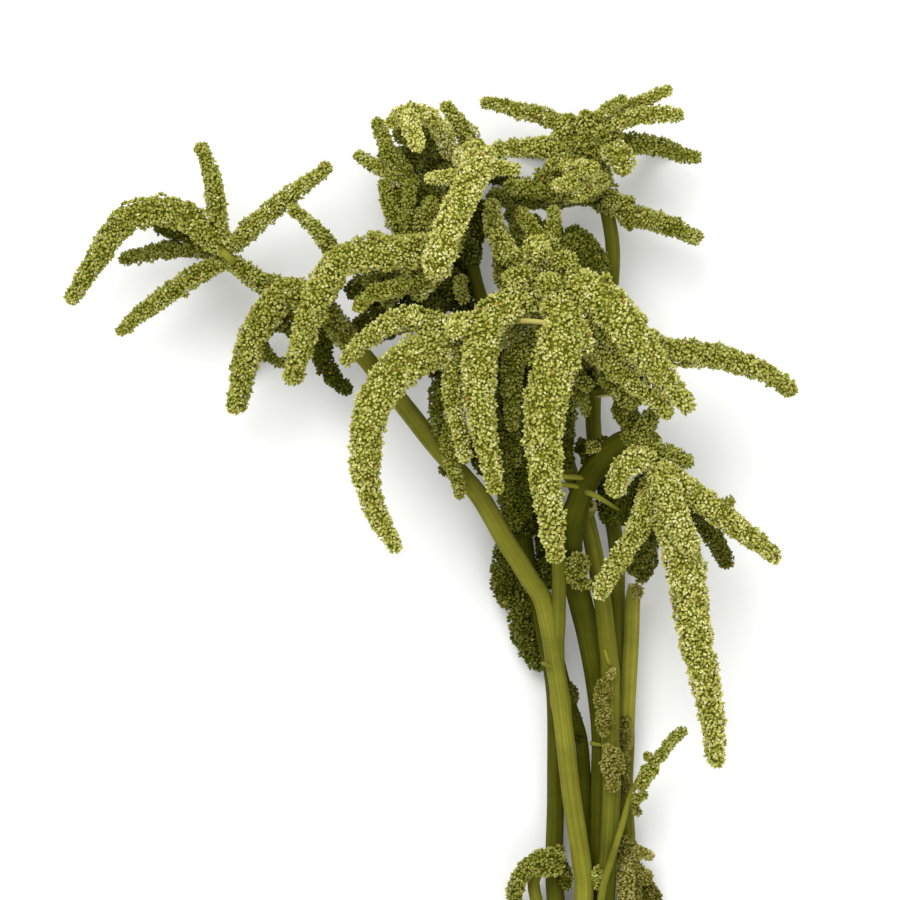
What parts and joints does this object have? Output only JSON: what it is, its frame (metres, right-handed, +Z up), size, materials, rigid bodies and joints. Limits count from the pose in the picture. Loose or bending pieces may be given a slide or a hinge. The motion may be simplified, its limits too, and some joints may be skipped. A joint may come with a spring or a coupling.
{
  "type": "amaranth seed head bunch",
  "caption": "Cut bunch of green hanging amaranth, tied low on its stems and laid flat, with drooping finger-like seed spikes clad in florets.",
  "frame": {"origin": "on the table, in the flat spot under the thickest stem near its cut end", "axes": "+Y along the stems from the cut ends to the heads, +X across the bunch, +Z up from the table"},
  "size_m": [0.3716, 0.5479, 0.1258],
  "materials": {
    "seed_green": "matte, densely beaded yellow-green florets",
    "stem_green": "satin olive stem with fine lengthwise ridges",
    "tie_cord": "natural twisted cord"
  },
  "bodies": {
    "root": {"stem_front": "stem_green", "stem_left": "stem_green", "stem_thick": "stem_green", "stem_middle": "stem_green", "stem_right": "stem_green", "stem_short": "stem_green", "shoot_thin": "stem_green", "head_left": "seed_green", "head_rear": "seed_green", "head_top": "seed_green", "head_centre": "seed_green", "head_right": "seed_green", "head_back": "seed_green", "head_low": "seed_green", "tuft_right": "seed_green", "tuft_shoot": "seed_green", "tuft_shoot_low": "seed_green", "tuft_thick": "seed_green", "tuft_fork": "seed_green", "crust_middle": "seed_green", "crust_right": "seed_green", "crust_rear": "seed_green", "tie": "tie_cord"}
  },
  "joints": []
}
